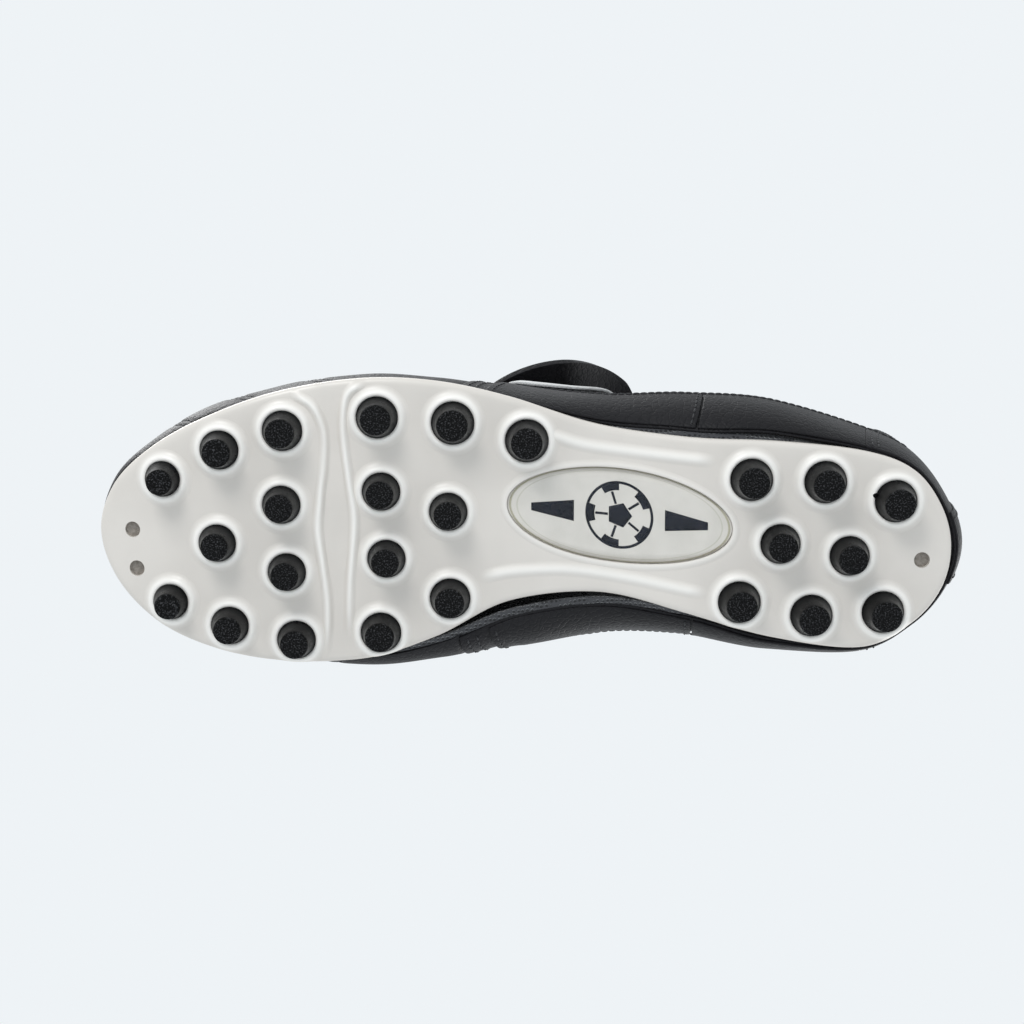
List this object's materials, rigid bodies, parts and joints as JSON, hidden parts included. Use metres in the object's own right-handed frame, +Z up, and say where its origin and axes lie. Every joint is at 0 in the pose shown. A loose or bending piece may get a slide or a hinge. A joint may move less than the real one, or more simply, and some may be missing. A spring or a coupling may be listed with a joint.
{
  "type": "soccer cleat",
  "caption": "Left moulded-stud soccer cleat: black leather upper with a fold-over tongue flap, white outsole with conical studs and an oval arch window.",
  "frame": {"origin": "on the ground under the middle of the shoe's box, studs down", "axes": "+X towards the toe, +Y towards the lateral side of this left shoe, +Z up"},
  "size_m": [0.307, 0.1022, 0.1085],
  "materials": {
    "outsole_white": "satin moulded, slightly glossy",
    "stud_rubber": "glossy cone sides and grainy worn tips",
    "window_clear": "clear gloss, slightly yellowed",
    "badge_card": "printed card in dark navy on pale grey",
    "fibre_board": "matte pressed fibre",
    "shank_steel": "brushed",
    "sockliner_fabric": "matte knit on foam",
    "foam": "open-cell foam",
    "stiffener": "matte thermoplastic sheet",
    "lining_fabric": "matte brushed textile",
    "lace_tip": "clear gloss film over white",
    "lace_white": "flat woven",
    "upper_leather": "fine grain, semi-gloss"
  },
  "bodies": {
    "rearfoot": {"outsole_rearfoot": "outsole_white", "stud_forefoot_04": "stud_rubber", "stud_forefoot_06": "stud_rubber", "stud_forefoot_09": "stud_rubber", "stud_forefoot_13": "stud_rubber", "stud_forefoot_14": "stud_rubber", "stud_forefoot_15": "stud_rubber", "stud_forefoot_16": "stud_rubber", "stud_forefoot_17": "stud_rubber", "stud_heel_01": "stud_rubber", "stud_heel_02": "stud_rubber", "stud_heel_03": "stud_rubber", "stud_heel_04": "stud_rubber", "stud_heel_05": "stud_rubber", "stud_heel_06": "stud_rubber", "stud_heel_07": "stud_rubber", "stud_heel_08": "stud_rubber", "oval_window": "window_clear", "badge_insert": "badge_card", "lasting_board_rearfoot": "fibre_board", "shank": "shank_steel", "sockliner_rearfoot": "sockliner_fabric", "heel_cushion": "foam", "heel_counter": "stiffener", "lining_crease": "lining_fabric", "lining_rearfoot": "lining_fabric", "collar_padding": "foam", "vamp_crease": "upper_leather", "vamp_throat": "upper_leather", "quarter_lateral": "upper_leather", "quarter_medial": "upper_leather", "eyestay_lateral": "upper_leather", "eyestay_medial": "upper_leather", "foxing_front_lateral": "upper_leather", "foxing_rear_lateral": "upper_leather", "foxing_front_medial": "upper_leather", "foxing_rear_medial": "upper_leather", "heel_cover": "upper_leather", "backstay": "upper_leather", "tongue": "upper_leather", "lace": "lace_white", "lace_bow": "lace_white", "lace_tip_lateral": "lace_tip", "lace_tip_medial": "lace_tip"},
    "forefoot": {"outsole_forefoot": "outsole_white", "lasting_board_forefoot": "fibre_board", "sockliner_forefoot": "sockliner_fabric", "toe_puff": "stiffener", "lining_forefoot": "lining_fabric", "vamp_forefoot": "upper_leather", "stud_forefoot_01": "stud_rubber", "stud_forefoot_02": "stud_rubber", "stud_forefoot_03": "stud_rubber", "stud_forefoot_05": "stud_rubber", "stud_forefoot_07": "stud_rubber", "stud_forefoot_08": "stud_rubber", "stud_forefoot_10": "stud_rubber", "stud_forefoot_11": "stud_rubber", "stud_forefoot_12": "stud_rubber"},
    "flap": {"tongue_flap": "upper_leather"}
  },
  "joints": [
    {"name": "forefoot_flex", "type": "hinge", "parent": "rearfoot", "child": "forefoot", "pos_m": [0.0685, 0, 0.0138], "axis": [0, -1, 0], "range_deg": [0, 30], "stiffness_Nm_per_rad": 15, "deforming": ["vamp_crease", "lining_crease"]},
    {"name": "tongue_flap_fold", "type": "hinge", "parent": "rearfoot", "child": "flap", "pos_m": [-0.0415, 0, 0.1029], "axis": [0, -1, 0], "range_deg": [0, 150]}
  ]
}
